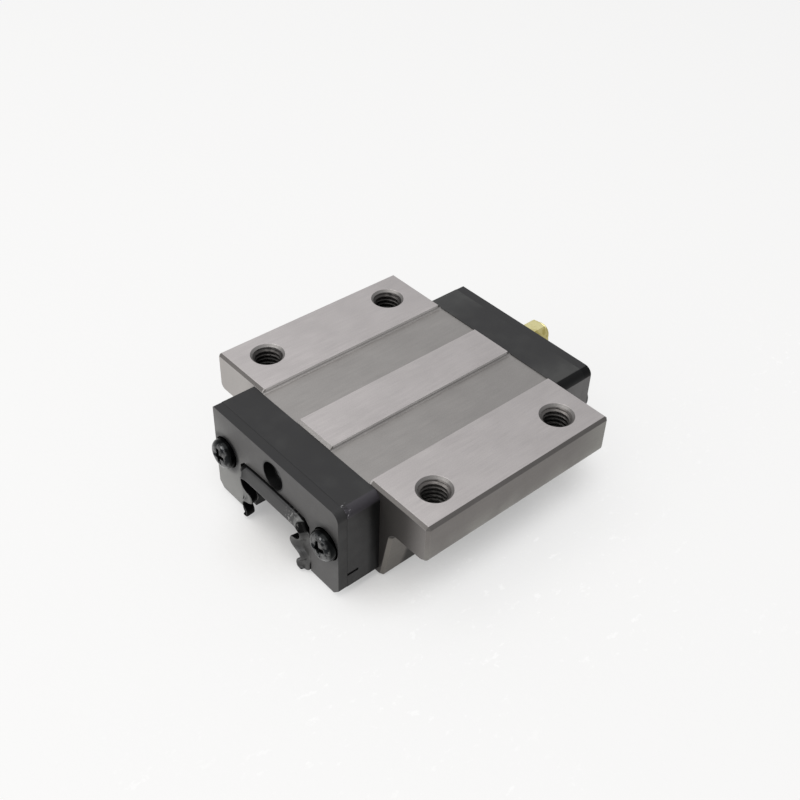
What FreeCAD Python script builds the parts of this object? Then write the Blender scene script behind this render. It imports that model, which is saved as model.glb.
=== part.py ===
import FreeCAD, Part
import math
import os
import Sketcher
from FreeCAD import Placement, Rotation, Vector

# A size 15 linear guide carriage: the block that runs on a profiled rail on two
# endless rows of balls. X is the direction of travel (the grease nipple is at +X),
# Y goes across, Z goes up. The top mounting face is z = 0 and the origin is the
# centre of the four mounting holes. Left is +Y and right is -Y.

doc = FreeCAD.newDocument("linear_bearing_block")

# ---- driving dimensions, in millimetres ----
numbers = {
    # casing
    "casing_length": 38.4,
    "flange_half_width": 26.0,
    "flange_thickness": 7.4,
    "casing_height": 18.2,
    "wall_top_half": 18.4,
    "wall_foot_half": 16.4,
    "ridge_half": 4.0,
    "land_inner": 13.3,
    "groove_depth": 0.75,
    "channel_half": 8.0,
    "channel_roof": 9.1,
    "flange_round": 1.5,
    "wall_fillet": 1.6,
    "foot_round": 0.7,
    "groove_fillet": 0.35,
    "channel_fillet": 0.5,
    "end_chamfer": 0.5,
    # mounting holes, M5
    "hole_spacing_along": 26.0,
    "hole_spacing_across": 41.0,
    "hole_radius": 2.5,
    "hole_chamfer": 0.4,
    # ball circuit
    "ball_radius": 1.985,
    "load_row": 7.1,
    "return_row": 13.2,
    "row_height": 13.0,
    "raceway_radius": 2.16,
    "raceway_shift": 0.1,
    "passage_radius": 2.1,
    "load_count": 9,
    "turn_count": 2,
    "loop_count": 22,
    # end plates
    "end_half_width": 15.7,
    "end_top": 0.6,
    "end_bottom": 17.6,
    "end_plate_thickness": 6.1,
    "end_foot_chamfer": 1.1,
    "end_round": 1.5,
    "end_edge": 0.2,
    "end_roof": 9.0,
    "leg_inner": 7.9,
    "ear_radius": 1.6,
    "guide_half_height": 2.6,
    "grease_width": 1.4,
    "grease_depth": 1.2,
    "slit_height": 13.9,
    "slit_width": 0.5,
    "slit_length": 2.1,
    "slit_depth": 0.9,
    # grease port, M4
    "port_height": 4.1,
    "port_radius": 2.0,
    "port_opening": 2.4,
    # end seals
    "seal_thickness": 1.7,
    "seal_inset": 0.03,
    "root_top": 7.0,
    "root_half": 8.9,
    "root_corner": 1.1,
    "root_bed": 1.2,
    "root_wall": 0.35,
    "lip_top": 9.5,
    "lip_half": 7.55,
    "lip_corner": 0.9,
    "lip_foot_half": 7.1,
    "lip_foot_top": 16.2,
    "lip_stand": 1.05,
    "lip_thickness": 1.6,
    "ear_start": 11.0,
    "ear_reach": 5.1,
    "ear_tip_high": 12.1,
    "ear_tip_low": 13.5,
    "ear_notch": 7.4,
    "ear_end": 14.9,
    # end screws, M3 pan head
    "screw_across": 12.8,
    "screw_down": 8.3,
    "screw_radius": 1.5,
    "screw_clearance": 1.65,
    "screw_bite": 5.0,
    "screw_hole_depth": 6.0,
    "head_radius": 2.6,
    "head_height": 2.4,
    "head_round": 1.0,
    "screw_point": 0.4,
    "recess_radius": 2.8,
    "recess_depth": 0.8,
    "cross_length": 2.9,
    "cross_width": 0.62,
    "cross_depth": 1.2,
    # retaining wires
    "wire_radius": 0.4,
    "wire_gap": 0.05,
    "wire_bend": 1.0,
    "wire_end": 24.2,
    "wire_reach": 7.4,
    "wire_hole_reach": 7.8,
    # grease nipple
    "nipple_inner": 22.0,
    "hex_across_flats": 5.0,
    "hex_length": 3.5,
    "nipple_length": 5.5,
    "nipple_neck": 1.3,
    "nipple_neck_length": 0.5,
    "nipple_head": 1.9,
    "nipple_head_round": 0.35,
    "nipple_tip": 1.15,
    "nipple_tip_length": 0.7,
    "chamber_radius": 1.0,
    "chamber_start": 27.4,
    "chamber_end": 31.3,
    "inlet_radius": 0.5,
    "inlet_start": 31.9,
    "outlet_radius": 0.58,
    "check_ball_radius": 0.85,
    "check_ball_at": 31.1,
    "spring_start": 27.55,
    "spring_end": 30.3,
    "spring_radius": 0.64,
    "spring_wire": 0.13,
    "spring_turns": 5,
}

sheet = doc.addObject("Spreadsheet::Sheet", "sizes")
for row, (alias, number) in enumerate(numbers.items(), start=1):
    sheet.set(f"A{row}", alias)
    sheet.set(f"B{row}", str(number))
    sheet.setAlias(f"B{row}", alias)
doc.recompute()


# ---- small helpers for sketches and features ----
def size(text):
    # number that a formula on the sheet's aliases gives now
    return float(sheet.evalExpression(text))


def bind(thing, **formulas):
    # ties properties to formulas on the sheet; a double underscore stands for a dot
    for name, formula in formulas.items():
        thing.setExpression(name.replace("__", "."), formula)


def new_body(label):
    body = doc.addObject("PartDesign::Body", label)
    body.Label = label
    return body


def new_sketch(body, name, plane, offset=None):
    # sketch on one of the body's own origin planes, moved along the plane's normal
    sketch = body.newObject("Sketcher::SketchObject", name)
    base = next(item for item in body.Origin.OriginFeatures if item.Role == plane)
    sketch.AttachmentSupport = [(base, "")]
    sketch.MapMode = "FlatFace"
    if offset:
        sketch.setExpression("AttachmentOffset.Base.z", offset)
    return sketch


def pin(sketch, edge, point, across, up):
    # ties one point of the sketch to two formulas
    for kind, formula in (("DistanceX", across), ("DistanceY", up)):
        rule = Sketcher.Constraint(kind, -1, 1, edge, point, size(formula))
        sketch.setExpression(f"Constraints[{sketch.addConstraint(rule)}]", formula)


def outline(sketch, corners):
    # closed polygon through the corners
    spots = [Vector(size(across), size(up), 0) for across, up in corners]
    first = sketch.GeometryCount
    for start, end in zip(spots, spots[1:] + spots[:1]):
        sketch.addGeometry(Part.LineSegment(start, end))
    last = sketch.GeometryCount - 1
    for edge in range(first, last):
        sketch.addConstraint(Sketcher.Constraint("Coincident", edge, 2, edge + 1, 1))
    sketch.addConstraint(Sketcher.Constraint("Coincident", last, 2, first, 1))
    for edge, (across, up) in enumerate(corners, start=first):
        pin(sketch, edge, 1, across, up)


def circle(sketch, across, up, radius):
    spot = Vector(size(across), size(up), 0)
    edge = sketch.addGeometry(Part.Circle(spot, Vector(0, 0, 1), size(radius)))
    pin(sketch, edge, 3, across, up)
    rule = Sketcher.Constraint("Radius", edge, size(radius))
    sketch.setExpression(f"Constraints[{sketch.addConstraint(rule)}]", radius)


def mirrored_pair(half):
    # a half outline from top centre outwards to bottom centre, and its mirror image
    return half + [(f"-({across})", up) for across, up in reversed(half)]


def feature(body, kind, name, sketch, length=None, through=False, middle=False, flip=False):
    made = body.newObject(kind, name)
    made.Profile = sketch
    if through:
        made.Type = "ThroughAll"
    if length:
        made.setExpression("Length", length)
    made.Midplane = middle
    made.Reversed = flip
    doc.recompute()
    return made


def pad(body, name, sketch, length, middle=False, flip=False):
    return feature(body, "PartDesign::Pad", name, sketch, length, middle=middle, flip=flip)


def pocket(body, name, sketch, length=None, middle=False, flip=False):
    # a cut that has to take something away
    before = body.Shape.Volume
    made = feature(body, "PartDesign::Pocket", name, sketch, length, length is None, middle, flip)
    if body.Shape.Volume >= before:
        raise RuntimeError(f"{body.Label}: {name} cuts nothing")
    return made


def revolved(body, kind, name, sketch, axis, angle=360, flip=False):
    made = body.newObject(kind, name)
    made.Profile = sketch
    made.ReferenceAxis = (sketch, [axis])
    made.Angle = angle
    made.Reversed = flip
    doc.recompute()
    return made


def dress(body, kind, name, chosen, amount):
    # a fillet or chamfer on every edge of the tip that the test picks
    tip = body.Tip
    names = [f"Edge{n}" for n, edge in enumerate(tip.Shape.Edges, start=1) if chosen(edge)]
    if not names:
        raise RuntimeError(f"{body.Label}: no edge for {name}")
    made = body.newObject(f"PartDesign::{kind}", name)
    made.Base = (tip, names)
    made.setExpression("Radius" if kind == "Fillet" else "Size", amount)
    doc.recompute()
    return made


def near(value, target):
    return abs(value - target) < 0.001


def runs_along_x(edge, spots):
    # a long straight edge whose (y, z) is one of the spots, on either side
    ends = [vertex.Point for vertex in edge.Vertexes]
    if len(ends) != 2 or abs(ends[0].x - ends[1].x) < 0.5:
        return False
    return any(near(abs(end.y), y) and near(end.z, z) for y, z in spots for end in ends[:1])


HALF_CASING = "sizes.casing_length / 2"
PLATE_END = f"{HALF_CASING} + sizes.end_plate_thickness"
FACE = f"{PLATE_END} + sizes.seal_thickness"
TURN_RADIUS = "(sizes.return_row - sizes.load_row) / 2"
TURN_ROW = "(sizes.return_row + sizes.load_row) / 2"
ENDS = {"front": 180, "rear": 0}
SIDES = {"left": 1, "right": -1}


# ---- casing ----
def casing_section():
    # half of the drawn section, from the ridge over the flange to the channel roof
    return [
        ("sizes.ridge_half", "0"),
        ("sizes.ridge_half", "-sizes.groove_depth"),
        ("sizes.land_inner", "-sizes.groove_depth"),
        ("sizes.land_inner", "0"),
        ("sizes.flange_half_width", "0"),
        ("sizes.flange_half_width", "-sizes.flange_thickness"),
        ("sizes.wall_top_half", "-sizes.flange_thickness"),
        ("sizes.wall_foot_half", "-sizes.casing_height"),
        ("sizes.channel_half", "-sizes.casing_height"),
        ("sizes.channel_half", "-sizes.channel_roof"),
    ]


def gothic_groove(sketch, side):
    # two arcs that meet in a point at mid height, so that a ball touches at two places
    row = f"{side} * sizes.load_row"
    radius, shift = size("sizes.raceway_radius"), size("sizes.raceway_shift")
    lean = math.asin(shift / radius)
    first = sketch.GeometryCount
    for turn in (1, -1):
        height = f"-sizes.row_height - {turn} * sizes.raceway_shift"
        centre = Vector(size(row), size(height), 0)
        bow = Part.Circle(centre, Vector(0, 0, 1), radius)
        start = lean if turn == 1 else math.pi + lean
        edge = sketch.addGeometry(Part.ArcOfCircle(bow, start, start + math.pi - 2 * lean))
        pin(sketch, edge, 3, row, height)
        rule = Sketcher.Constraint("Radius", edge, radius)
        sketch.setExpression(f"Constraints[{sketch.addConstraint(rule)}]", "sizes.raceway_radius")
    sketch.addConstraint(Sketcher.Constraint("Coincident", first, 2, first + 1, 1))
    sketch.addConstraint(Sketcher.Constraint("Coincident", first + 1, 2, first, 1))


def make_casing():
    body = new_body("casing")
    section = new_sketch(body, "casing_section", "YZ_Plane")
    outline(section, mirrored_pair(casing_section()))
    pad(body, "casing_bar", section, "sizes.casing_length", middle=True)

    flange = size("sizes.flange_half_width")
    under = -size("sizes.flange_thickness")
    foot = -size("sizes.casing_height")
    floor = -size("sizes.groove_depth")
    wall = [(size("sizes.wall_top_half"), under)]
    corner = [(flange, under)]
    feet = [(size("sizes.wall_foot_half"), foot)]
    grooves = [(size("sizes.ridge_half"), floor), (size("sizes.land_inner"), floor)]
    roof = [(size("sizes.channel_half"), -size("sizes.channel_roof"))]
    rounds = (
        ("under_flange", wall, "sizes.wall_fillet"),
        ("flange_corner", corner, "sizes.flange_round"),
        ("foot_corner", feet, "sizes.foot_round"),
        ("groove_corner", grooves, "sizes.groove_fillet"),
        ("channel_corner", roof, "sizes.channel_fillet"),
    )
    for name, spots, amount in rounds:
        dress(body, "Fillet", name, lambda edge: runs_along_x(edge, spots), amount)

    raceways = new_sketch(body, "raceways", "YZ_Plane")
    for side in SIDES.values():
        gothic_groove(raceways, side)
    pocket(body, "raceway_cut", raceways, "2 * sizes.casing_length", middle=True)
    returns = new_sketch(body, "return_holes", "YZ_Plane")
    for side in SIDES.values():
        circle(returns, f"{side} * sizes.return_row", "-sizes.row_height", "sizes.passage_radius")
    pocket(body, "return_cut", returns, "2 * sizes.casing_length", middle=True)

    for end, turn in (("rear", 1), ("front", -1)):
        holes = new_sketch(body, f"screw_holes_{end}", "YZ_Plane", f"{turn} * {HALF_CASING}")
        for side in SIDES.values():
            circle(holes, f"{side} * sizes.screw_across", "-sizes.screw_down", "sizes.screw_radius")
        pocket(body, f"screw_cut_{end}", holes, "sizes.screw_hole_depth", flip=turn < 0)

    mounts = new_sketch(body, "mounting_holes", "XY_Plane")
    for along in (1, -1):
        for across in (1, -1):
            circle(mounts, f"{along} * sizes.hole_spacing_along / 2",
                   f"{across} * sizes.hole_spacing_across / 2", "sizes.hole_radius")
    pocket(body, "mounting_cut", mounts)

    end = size(HALF_CASING)
    bore = size("sizes.hole_radius")

    def hole_rim(edge):
        # the round top edge of a mounting hole
        box = edge.BoundBox
        return near(box.ZMin, 0) and near(box.ZMax, 0) and near(edge.Length, 2 * math.pi * bore)

    def ground_edge(edge):
        # the top and side edges of the lands, the ridge and the flanges
        box = edge.BoundBox
        on_end = near(abs(box.XMin), end) and near(box.XMin, box.XMax)
        on_top = near(box.ZMin, 0)
        on_side = near(abs(box.YMin), flange) and near(box.YMin, box.YMax)
        return len(edge.Vertexes) == 2 and (on_end + on_top + on_side == 2)

    dress(body, "Chamfer", "hole_chamfers", hole_rim, "sizes.hole_chamfer")
    dress(body, "Chamfer", "ground_chamfers", ground_edge, "sizes.end_chamfer")
    return body


# ---- end plates ----
def cap_outline(inset):
    # half of the cap's outer shape, with the foot's chamfer
    width = f"sizes.end_half_width - {inset}"
    return [
        (width, f"-sizes.end_top - {inset}"),
        (width, f"-sizes.end_bottom + sizes.end_foot_chamfer + {inset}"),
        (f"{width} - sizes.end_foot_chamfer", f"-sizes.end_bottom + {inset}"),
    ]


def round_cap_top(body, end, inset):
    # once the cap stands in its place, the long top edge at -Y is rounded, the other only eased
    spots = [(size(f"sizes.end_half_width - {inset}"), size(f"-sizes.end_top - {inset}"))]
    right = 1 if ENDS[end] else -1
    for name, side, amount in (("round", right, "sizes.end_round"), ("edge", -right, "sizes.end_edge")):
        dress(body, "Fillet", f"{body.Label}_{name}",
              lambda edge: runs_along_x(edge, spots) and edge.BoundBox.YMin * side > 0, amount)


def make_end_plate(end):
    body = new_body(f"end_plate_{end}")
    section = new_sketch(body, f"plate_section_{end}", "YZ_Plane", HALF_CASING)
    legs = [("sizes.leg_inner", "-sizes.end_bottom"), ("sizes.leg_inner", "-sizes.end_roof")]
    outline(section, mirrored_pair(cap_outline("0") + legs))
    pad(body, f"plate_{end}", section, "sizes.end_plate_thickness")
    round_cap_top(body, end, "0")

    # scoops that reach into the rail's grooves and lift the balls off it
    ears = new_sketch(body, f"scoops_{end}", "YZ_Plane", HALF_CASING)
    for side in SIDES.values():
        circle(ears, f"{side} * sizes.load_row", "-sizes.row_height", "sizes.ear_radius")
    pad(body, f"scoop_{end}", ears, "sizes.end_plate_thickness")

    for name, side in SIDES.items():
        turn_passage(body, f"{name}_{end}", side)

    pipes = new_sketch(body, f"grease_ways_{end}", "YZ_Plane", HALF_CASING)
    outline(pipes, mirrored_pair([
        (f"{TURN_ROW} + sizes.grease_width / 2", "-sizes.port_height + sizes.grease_width / 2"),
        (f"{TURN_ROW} + sizes.grease_width / 2", "-sizes.row_height + sizes.guide_half_height - 0.1"),
        (f"{TURN_ROW} - sizes.grease_width / 2", "-sizes.row_height + sizes.guide_half_height - 0.1"),
        (f"{TURN_ROW} - sizes.grease_width / 2", "-sizes.port_height - sizes.grease_width / 2"),
    ]))
    pocket(body, f"grease_cut_{end}", pipes, "sizes.grease_depth", flip=True)

    bores = new_sketch(body, f"plate_bores_{end}", "YZ_Plane", PLATE_END)
    circle(bores, "0", "-sizes.port_height", "sizes.port_radius")
    for side in SIDES.values():
        circle(bores, f"{side} * sizes.screw_across", "-sizes.screw_down", "sizes.screw_clearance")
    pocket(body, f"bore_cut_{end}", bores)

    slits = new_sketch(body, f"slits_{end}", "YZ_Plane", PLATE_END)
    for side in SIDES.values():
        inner = f"{side} * (sizes.end_half_width - sizes.slit_depth)"
        outer = f"{side} * (sizes.end_half_width + 1)"
        outline(slits, [
            (inner, "-sizes.slit_height - sizes.slit_width / 2"),
            (outer, "-sizes.slit_height - sizes.slit_width / 2"),
            (outer, "-sizes.slit_height + sizes.slit_width / 2"),
            (inner, "-sizes.slit_height + sizes.slit_width / 2"),
        ])
    pocket(body, f"slit_cut_{end}", slits, "sizes.slit_length")

    # the holes that take the bent ends of the retaining wires
    wires = new_sketch(body, f"wire_holes_{end}", "XZ_Plane")
    circle(wires, "sizes.wire_end", "-sizes.row_height", "sizes.wire_radius + sizes.wire_gap")
    pocket(body, f"wire_cut_{end}", wires, "2 * sizes.wire_hole_reach", middle=True)
    body.Placement = Placement(Vector(), Rotation(Vector(0, 0, 1), ENDS[end]))
    return body


def turn_passage(body, name, side):
    # the half-round ball turn and the seat of its return guide, cut as one shape
    row = f"{side} * {TURN_ROW}"
    rim = f"{side} * sizes.load_row"
    low = "-sizes.row_height - sizes.guide_half_height"
    high = "-sizes.row_height + sizes.guide_half_height"
    profile = new_sketch(body, f"ball_turn_{name}", "YZ_Plane", HALF_CASING)
    corners = [(rim, high), (row, high), (row, low), (rim, low)]
    spots = [Vector(size(across), size(up), 0) for across, up in corners]
    centre = Vector(size(rim), size("-sizes.row_height"), 0)
    reach = Vector(0, size("sizes.passage_radius"), 0)
    chain = [Part.LineSegment(first, second) for first, second in zip(spots, spots[1:])]
    bow = Part.Circle(centre, Vector(0, 0, 1), reach.y)
    start = math.pi / 2 * side
    chain.append(Part.LineSegment(spots[-1], centre - reach))
    chain.append(Part.ArcOfCircle(bow, start, start + math.pi))
    chain.append(Part.LineSegment(centre + reach, spots[0]))
    for edge in chain:
        profile.addGeometry(edge)
    below, arc, above = 3, 4, 5
    enter, leave = (2, 1) if side > 0 else (1, 2)
    joints = ((0, 2, 1, 1), (1, 2, 2, 1), (2, 2, below, 1), (below, 2, arc, enter),
              (arc, leave, above, 1), (above, 2, 0, 1))
    for first, first_end, second, second_end in joints:
        profile.addConstraint(Sketcher.Constraint("Coincident", first, first_end, second, second_end))
    for edge, (across, up) in enumerate(corners[:3]):
        pin(profile, edge, 1, across, up)
    pin(profile, below, 1, rim, low)
    pin(profile, arc, 3, rim, "-sizes.row_height")
    profile.addConstraint(Sketcher.Constraint("Vertical", below))
    profile.addConstraint(Sketcher.Constraint("Vertical", above))
    rule = Sketcher.Constraint("Radius", arc, reach.y)
    profile.setExpression(f"Constraints[{profile.addConstraint(rule)}]", "sizes.passage_radius")

    foot = Vector(size(row), size("-sizes.end_bottom"), 0)
    axis = profile.addGeometry(Part.LineSegment(foot, Vector(size(row), 0, 0)), True)
    pin(profile, axis, 1, row, "-sizes.end_bottom")
    pin(profile, axis, 2, row, "0")
    before = body.Shape.Volume
    revolved(body, "PartDesign::Groove", f"turn_cut_{name}", profile, "Axis0", 180, side < 0)
    if body.Shape.Volume >= before:
        raise RuntimeError(f"turn_cut_{name} cuts nothing")


def make_return_guide(end, side_name):
    # half a spool: a half cylinder whose waist is the inside of the ball turn
    label = f"return_guide_{end}_{side_name}"
    along = 1 if end == "rear" else -1
    core = doc.addObject("Part::Cylinder", f"{label}_core")
    ring = doc.addObject("Part::Torus", f"{label}_ring")
    core.Angle = 180
    core.Placement.Rotation = Rotation(Vector(0, 0, 1), -90 * along)
    bind(core, Radius=TURN_RADIUS, Height="2 * sizes.guide_half_height",
         Placement__Base__z="-sizes.row_height - sizes.guide_half_height")
    bind(ring, Radius1=TURN_RADIUS, Radius2="sizes.passage_radius",
         Placement__Base__z="-sizes.row_height")
    for item in (core, ring):
        bind(item, Placement__Base__x=f"{along} * {HALF_CASING}",
             Placement__Base__y=f"{SIDES[side_name]} * {TURN_ROW}")
    spool = doc.addObject("Part::Cut", label)
    spool.Base = core
    spool.Tool = ring
    return spool


# ---- end seals ----
def root_outline(inset, foot):
    # half of the opening where the rubber starts; it has a corner for each one of the lip
    half = f"sizes.root_half - {inset}"
    levels = ["sizes.ear_start", "sizes.ear_tip_high", "sizes.ear_tip_low", "sizes.ear_end",
              "sizes.lip_foot_top"]
    return [
        (f"{half} - sizes.root_corner", f"-sizes.root_top - {inset}"),
        (half, f"-sizes.root_top - sizes.root_corner - {inset}"),
    ] + [(half, f"-{level}") for level in levels] + [(half, foot)]


def lip_outline(foot):
    # half of the opening that wipes the rail: top, shoulder, the ear in the groove, foot
    return [
        ("sizes.lip_half - sizes.lip_corner", "-sizes.lip_top"),
        ("sizes.lip_half", "-sizes.lip_top - sizes.lip_corner"),
        ("sizes.lip_half", "-sizes.ear_start"),
        ("sizes.ear_reach", "-sizes.ear_tip_high"),
        ("sizes.ear_reach", "-sizes.ear_tip_low"),
        ("sizes.ear_notch", "-sizes.ear_end"),
        ("sizes.lip_foot_half", "-sizes.lip_foot_top"),
        ("sizes.lip_foot_half", foot),
    ]


def make_seal_plate(end):
    body = new_body(f"seal_plate_{end}")
    section = new_sketch(body, f"seal_section_{end}", "YZ_Plane", PLATE_END)
    half = "sizes.root_half"
    outline(section, mirrored_pair(cap_outline("sizes.seal_inset") + [
        (half, "-sizes.end_bottom + sizes.seal_inset"),
        (half, "-sizes.root_top - sizes.root_corner"),
        (f"{half} - sizes.root_corner", "-sizes.root_top"),
    ]))
    pad(body, f"seal_{end}", section, "sizes.seal_thickness")
    round_cap_top(body, end, "sizes.seal_inset")

    bores = new_sketch(body, f"seal_bores_{end}", "YZ_Plane", FACE)
    circle(bores, "0", "-sizes.port_height", "sizes.port_opening")
    for side in SIDES.values():
        circle(bores, f"{side} * sizes.screw_across", "-sizes.screw_down", "sizes.screw_clearance")
    pocket(body, f"seal_bore_cut_{end}", bores)
    dishes = new_sketch(body, f"screw_recesses_{end}", "YZ_Plane", FACE)
    for side in SIDES.values():
        circle(dishes, f"{side} * sizes.screw_across", "-sizes.screw_down", "sizes.recess_radius")
    pocket(body, f"recess_cut_{end}", dishes, "sizes.recess_depth")
    body.Placement = Placement(Vector(), Rotation(Vector(0, 0, 1), ENDS[end]))
    return body


def loft(body, kind, name, first, second):
    made = body.newObject(kind, name)
    made.Profile = first
    made.Sections = [second]
    made.Ruled = True
    doc.recompute()
    return made


def make_seal_lip(end):
    # a collar that leans outwards from the plate to the rail, open at the foot
    body = new_body(f"seal_lip_{end}")
    foot = "-sizes.end_bottom"
    below = "-sizes.end_bottom - 1"
    tip = f"{FACE} + sizes.lip_stand"
    bed = f"{FACE} - sizes.root_bed"
    layers = {}
    for name, half, plane in (
        ("bed", root_outline("0", foot), bed),
        ("root", root_outline("0", foot), FACE),
        ("edge", lip_outline(foot), tip),
        ("inner_bed", root_outline("sizes.root_wall", below), bed),
        ("inner_edge", lip_outline(below), f"{tip} - sizes.lip_thickness"),
        ("mouth", lip_outline(below), tip),
    ):
        layers[name] = new_sketch(body, f"lip_{name}_{end}", "YZ_Plane", plane)
        outline(layers[name], mirrored_pair(half))
    pad(body, f"lip_base_{end}", layers["bed"], "sizes.root_bed")
    loft(body, "PartDesign::AdditiveLoft", f"lip_flare_{end}", layers["root"], layers["edge"])
    full = body.Shape.Volume
    loft(body, "PartDesign::SubtractiveLoft", f"lip_hollow_{end}",
         layers["inner_bed"], layers["inner_edge"])
    pocket(body, f"lip_mouth_{end}", layers["mouth"], "sizes.lip_thickness")
    if body.Shape.Volume > full / 2:
        raise RuntimeError(f"{body.Label} is not hollow")
    body.Placement = Placement(Vector(), Rotation(Vector(0, 0, 1), ENDS[end]))
    return body


# ---- end screws ----
def make_end_screw(end, side_name):
    # pan head with a cross recess, turned about X and then moved to its hole
    label = f"end_screw_{end}_{side_name}"
    body = new_body(label)
    seat = f"{FACE} - sizes.recess_depth"
    crown = f"{seat} + sizes.head_height"
    point = f"{HALF_CASING} - sizes.screw_bite"
    profile = new_sketch(body, f"{label}_profile", "XZ_Plane")
    outline(profile, [
        (point, "0"),
        (point, "sizes.screw_radius - sizes.screw_point"),
        (f"{point} + sizes.screw_point", "sizes.screw_radius"),
        (seat, "sizes.screw_radius"),
        (seat, "sizes.head_radius"),
        (crown, "sizes.head_radius"),
        (crown, "0"),
    ])
    revolved(body, "PartDesign::Revolution", f"{label}_turned", profile, "H_Axis")
    top, rim = size(crown), 2 * math.pi * size("sizes.head_radius")

    def head_rim(edge):
        return near(edge.BoundBox.XMin, top) and near(edge.Length, rim)

    dress(body, "Fillet", f"{label}_pan", head_rim, "sizes.head_round")
    cross = new_sketch(body, f"{label}_cross", "YZ_Plane", crown)
    arm, half = "sizes.cross_length / 2", "sizes.cross_width / 2"
    outline(cross, [
        (arm, half), (half, half), (half, arm), (f"-{half}", arm), (f"-{half}", half),
        (f"-{arm}", half), (f"-{arm}", f"-{half}"), (f"-{half}", f"-{half}"),
        (f"-{half}", f"-{arm}"), (half, f"-{arm}"), (half, f"-{half}"), (arm, f"-{half}"),
    ])
    pocket(body, f"{label}_recess", cross, "sizes.cross_depth")
    body.Placement = Placement(Vector(), Rotation(Vector(0, 0, 1), ENDS[end]))
    bind(body, Placement__Base__y=f"{SIDES[side_name]} * sizes.screw_across",
         Placement__Base__z="-sizes.screw_down")
    return body


# ---- retaining wires ----
def make_retaining_wire(side_name):
    # straight along the row of load balls, with both ends bent outwards into the scoops
    body = new_body(f"retaining_wire_{side_name}")
    run = "sizes.load_row - sizes.ball_radius - sizes.wire_radius - sizes.wire_gap"
    elbow = "sizes.wire_end - sizes.wire_bend"
    level = "-sizes.row_height"
    middle = new_sketch(body, f"wire_run_{side_name}", "YZ_Plane")
    circle(middle, run, level, "sizes.wire_radius")
    pad(body, f"wire_straight_{side_name}", middle, f"2 * ({elbow})", middle=True)
    for end, turn in (("rear", 1), ("front", -1)):
        name = f"{end}_{side_name}"
        bend = new_sketch(body, f"wire_bend_{name}", "YZ_Plane", f"{turn} * ({elbow})")
        circle(bend, run, level, "sizes.wire_radius")
        pivot = f"{run} + sizes.wire_bend"
        low = Vector(size(pivot), size(level) - 1, 0)
        axis = bend.addGeometry(Part.LineSegment(low, low + Vector(0, 2, 0)), True)
        pin(bend, axis, 1, pivot, f"{level} - 1")
        pin(bend, axis, 2, pivot, f"{level} + 1")
        revolved(body, "PartDesign::Revolution", f"wire_elbow_{name}", bend, "Axis0", 90, turn < 0)
        leg = new_sketch(body, f"wire_leg_{name}", "XZ_Plane", f"-({pivot})")
        circle(leg, f"{turn} * sizes.wire_end", level, "sizes.wire_radius")
        pad(body, f"wire_hook_{name}", leg, f"sizes.wire_reach - ({pivot})", flip=True)
    body.Placement = Placement(Vector(), Rotation(Vector(0, 0, 1), 90 - 90 * SIDES[side_name]))
    return body


# ---- grease nipple ----
def make_grease_nipple():
    body = new_body("grease_nipple")
    corner = "sizes.hex_across_flats / sqrt(3)"
    hexagon = new_sketch(body, "hexagon", "YZ_Plane", FACE)
    outline(hexagon, [
        (corner, "0"), (f"{corner} / 2", "sizes.hex_across_flats / 2"),
        (f"-{corner} / 2", "sizes.hex_across_flats / 2"), (f"-{corner}", "0"),
        (f"-{corner} / 2", "-sizes.hex_across_flats / 2"),
        (f"{corner} / 2", "-sizes.hex_across_flats / 2"),
    ])
    pad(body, "hexagon_bar", hexagon, "sizes.hex_length")

    shape = new_sketch(body, "nipple_outside", "XZ_Plane")
    shoulder = f"{FACE} + sizes.hex_length"
    neck = f"{shoulder} + sizes.nipple_neck_length"
    tip = f"{FACE} + sizes.nipple_length"
    outline(shape, [
        ("sizes.nipple_inner", "0"),
        ("sizes.nipple_inner", "sizes.port_radius"),
        (FACE, "sizes.port_radius"),
        (shoulder, "sizes.nipple_neck"),
        (neck, "sizes.nipple_neck"),
        (neck, "sizes.nipple_head"),
        (f"{tip} - sizes.nipple_tip_length", "sizes.nipple_head"),
        (tip, "sizes.nipple_tip"),
        (tip, "0"),
    ])
    revolved(body, "PartDesign::Revolution", "nipple_turned", shape, "H_Axis")
    start = size(neck)
    head = 2 * math.pi * size("sizes.nipple_head")

    def head_edge(edge):
        return edge.BoundBox.XMin > start - 0.001 and near(edge.Length, head)

    dress(body, "Fillet", "nipple_head_round", head_edge, "sizes.nipple_head_round")

    bore = new_sketch(body, "nipple_inside", "XZ_Plane")
    outline(bore, [
        ("sizes.nipple_inner - 1", "0"),
        ("sizes.nipple_inner - 1", "sizes.outlet_radius"),
        ("sizes.chamber_start", "sizes.outlet_radius"),
        ("sizes.chamber_start", "sizes.chamber_radius"),
        ("sizes.chamber_end", "sizes.chamber_radius"),
        ("sizes.inlet_start", "sizes.inlet_radius"),
        (f"{tip} + 1", "sizes.inlet_radius"),
        (f"{tip} + 1", "0"),
    ])
    revolved(body, "PartDesign::Groove", "nipple_bored", bore, "H_Axis")
    bind(body, Placement__Base__z="-sizes.port_height")
    return body


def make_nipple_ball():
    ball = doc.addObject("Part::Sphere", "nipple_ball")
    bind(ball, Radius="sizes.check_ball_radius", Placement__Base__x="sizes.check_ball_at",
         Placement__Base__z="-sizes.port_height")
    return ball


def make_nipple_spring():
    body = new_body("nipple_spring")
    wire = new_sketch(body, "spring_section", "XZ_Plane")
    circle(wire, "sizes.spring_start", "sizes.spring_radius", "sizes.spring_wire")
    coil = body.newObject("PartDesign::AdditiveHelix", "spring_coil")
    coil.Profile = wire
    coil.ReferenceAxis = (wire, ["H_Axis"])
    coil.Mode = 1
    height = "(sizes.spring_end - sizes.spring_start)"
    bind(coil, Pitch=f"{height} / sizes.spring_turns", Turns="sizes.spring_turns")
    bind(body, Placement__Base__z="-sizes.port_height")
    doc.recompute()
    return body


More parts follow.
